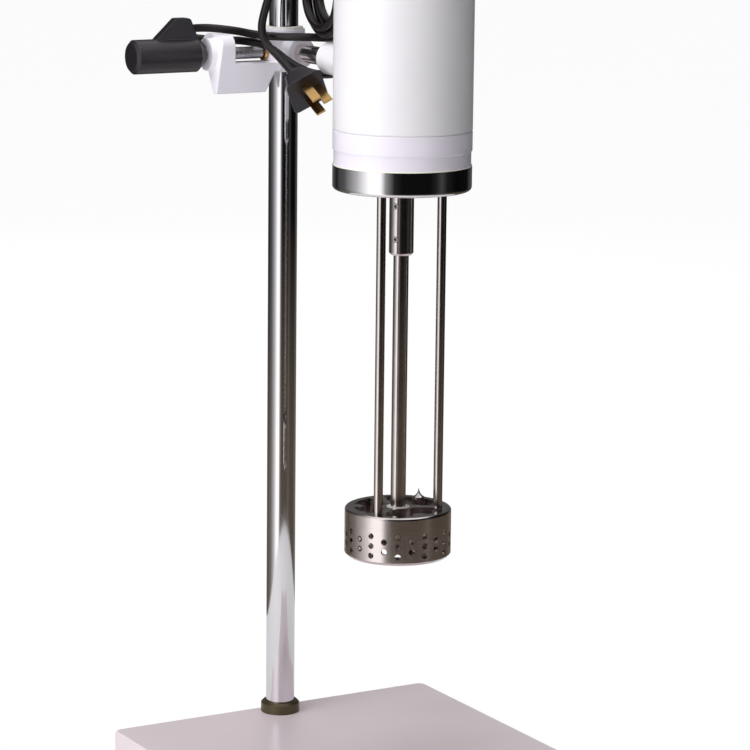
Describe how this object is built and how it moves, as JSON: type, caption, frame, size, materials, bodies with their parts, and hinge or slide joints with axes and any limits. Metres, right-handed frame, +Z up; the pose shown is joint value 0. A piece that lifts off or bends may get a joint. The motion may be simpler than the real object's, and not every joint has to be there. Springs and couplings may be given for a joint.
{
  "type": "rotor stator homogenizer",
  "caption": "Bench high shear mixer: a motor on a clamped arm turns a rotor inside a perforated stator head on slim rods, on a column stand with a base plate.",
  "frame": {"origin": "On the surface the feet stand on, under the middle of the base plate, which is also on the motor axis.", "axes": "+Z up along the column, +Y towards the back where the column stands, +X to the right seen from the front; the locking knob points to -X."},
  "size_m": [0.25, 0.4229, 0.727],
  "materials": {
    "plate_paint": "smooth pinkish grey enamel, slightly glossy",
    "white_paint": "smooth white enamel",
    "chrome": "polished chrome plate",
    "satin_steel": "turned stainless steel, fine lines",
    "plain_steel": "plain machined steel",
    "cast_alloy": "machined aluminium",
    "dark_plastic": "dark charcoal moulded plastic",
    "black_rubber": "soft black rubber",
    "black_pvc": "flexible black sheath",
    "white_plastic": "bearing grade plastic",
    "brass": "bright brass",
    "copper": "enamelled copper wire and copper segments",
    "carbon": "pressed carbon"
  },
  "bodies": {
    "stand": {"base_plate": "plate_paint", "base_feet": "black_rubber", "foot_screws": "plain_steel", "column": "chrome", "foot_collar": "chrome", "column_washer": "plain_steel", "column_bolt": "plain_steel", "column_cap": "dark_plastic"},
    "slider": {"clamp_bush": "white_plastic"},
    "carriage": {"clamp_body": "white_paint", "arm_rod": "satin_steel", "arm_grub_screws": "plain_steel", "motor_bracket": "white_paint", "chrome_ring": "chrome", "flange_plate": "cast_alloy", "flange_screws": "plain_steel", "lower_housing": "white_paint", "motor_housing": "white_paint", "upper_housing": "white_paint", "top_cap": "white_paint", "field_core": "plain_steel", "field_coils": "copper", "bearing_bridge": "cast_alloy", "bearings": "plain_steel", "brush_holders": "dark_plastic", "brushes": "carbon", "support_rods": "satin_steel", "stator_holder": "satin_steel", "rim_stud": "satin_steel", "shaft_bush": "white_plastic", "stator_cage": "satin_steel", "cage_ring": "satin_steel", "suction_plate": "satin_steel", "cage_screws": "plain_steel", "strain_relief": "black_rubber", "cord_from_motor": "black_pvc", "cord_hank": "black_pvc", "cord_tie": "black_pvc", "cord_to_plug": "black_pvc", "plug": "dark_plastic", "plug_pins": "brass"},
    "pad": {"lock_pad": "brass"},
    "knob": {"lock_screw": "plain_steel", "lock_knob": "dark_plastic"},
    "spindle": {"motor_shaft": "plain_steel", "armature": "plain_steel", "commutator": "copper", "fan": "dark_plastic", "coupling": "satin_steel", "coupling_screws": "plain_steel", "mixer_shaft": "satin_steel", "rotor": "satin_steel", "rotor_nut": "satin_steel"},
    "dial": {"speed_dial": "dark_plastic"},
    "switch": {"power_switch": "dark_plastic"}
  },
  "joints": [
    {"name": "carriage_height", "type": "slide", "parent": "stand", "child": "slider", "axis": [0, 0, 1], "range_m": [-0.14, 0.2]},
    {"name": "carriage_swivel", "type": "hinge", "parent": "slider", "child": "carriage", "pos_m": [0, 0.162, 0.4895], "axis": [0, 0, 1], "range_deg": [-120, 120]},
    {"name": "pad_stroke", "type": "slide", "parent": "carriage", "child": "pad", "axis": [-1, 0, 0], "range_m": [0, 0.00224]},
    {"name": "knob_turn", "type": "hinge", "parent": "pad", "child": "knob", "pos_m": [-0.08, 0.162, 0.4895], "axis": [-1, 0, 0], "range_deg": [0, 540]},
    {"name": "spindle_spin", "type": "hinge", "parent": "carriage", "child": "spindle", "pos_m": [0, 0, 0.4], "axis": [0, 0, 1], "continuous": true},
    {"name": "dial_turn", "type": "hinge", "parent": "carriage", "child": "dial", "pos_m": [0, -0.022, 0.632], "axis": [0, 0, -1], "range_deg": [0, 270]},
    {"name": "switch_rock", "type": "hinge", "parent": "carriage", "child": "switch", "pos_m": [0, 0.02, 0.6305], "axis": [0, 1, 0], "range_deg": [-9, 9]}
  ],
  "couplings": [
    {"joint": "knob_turn", "follows": "pad_stroke", "rad_per_m": 4188.8}
  ]
}
